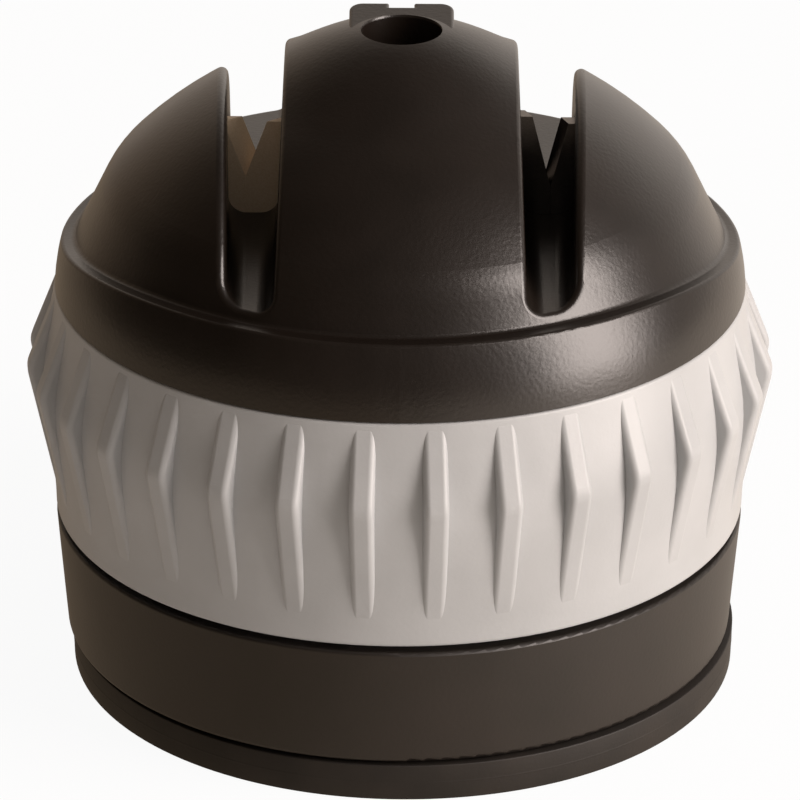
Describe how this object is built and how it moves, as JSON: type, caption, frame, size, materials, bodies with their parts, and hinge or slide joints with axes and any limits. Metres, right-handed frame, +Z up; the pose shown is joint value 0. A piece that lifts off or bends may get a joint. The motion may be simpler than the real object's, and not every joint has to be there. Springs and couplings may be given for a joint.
{
  "type": "knife sharpener",
  "caption": "Domed countertop knife sharpener with a ceramic and a carbide slot, on a base whose ribbed twist ring lifts a suction cup to hold it down.",
  "frame": {"origin": "middle of the suction cup's rim on the table, under the twist ring's axis", "axes": "+Z up along the twist ring's axis; the front faces -Y; knives are drawn along Y; ceramic slot at -X"},
  "size_m": [0.0714, 0.0714, 0.0649],
  "materials": {
    "black_plastic": "fine satin texture",
    "grey_plastic": "satin",
    "black_rubber": "matte",
    "slick_plastic": "smooth",
    "inner_plastic": "matte",
    "cream_ceramic": "fine ground",
    "dark_carbide": "ground",
    "bright_steel": "turned",
    "screw_steel": "zinc plated"
  },
  "bodies": {
    "base": {"base_housing": "black_plastic", "suction_cup": "black_rubber", "lower_glide_washer": "slick_plastic", "upper_glide_washer": "slick_plastic", "head_shell": "black_plastic", "head_chassis": "inner_plastic", "assembly_screws": "screw_steel", "chassis_screws": "screw_steel", "holder_screws": "screw_steel", "ceramic_holder": "inner_plastic", "ceramic_plate_front": "cream_ceramic", "ceramic_plate_rear": "cream_ceramic", "carbide_holder": "inner_plastic", "carbide_blade_front": "dark_carbide", "carbide_blade_rear": "dark_carbide"},
    "ring": {"twist_ring": "grey_plastic", "cam_rotor": "slick_plastic", "rotor_screws": "screw_steel"},
    "lifter": {"lift_stem": "bright_steel", "cross_pin": "bright_steel", "follower_caps": "slick_plastic", "anchor_plate": "bright_steel", "anchor_nut": "screw_steel"}
  },
  "joints": [
    {"name": "ring_twist", "type": "hinge", "parent": "base", "child": "ring", "pos_m": [0, 0, 0.028], "axis": [0, 0, -1], "range_deg": [0, 60]},
    {"name": "cup_lift", "type": "slide", "parent": "base", "child": "lifter", "axis": [0, 0, 1], "range_m": [0, 0.003], "deforming": ["suction_cup"]}
  ],
  "couplings": [
    {"joint": "cup_lift", "follows": "ring_twist", "m_per_rad": 0.0028648}
  ]
}
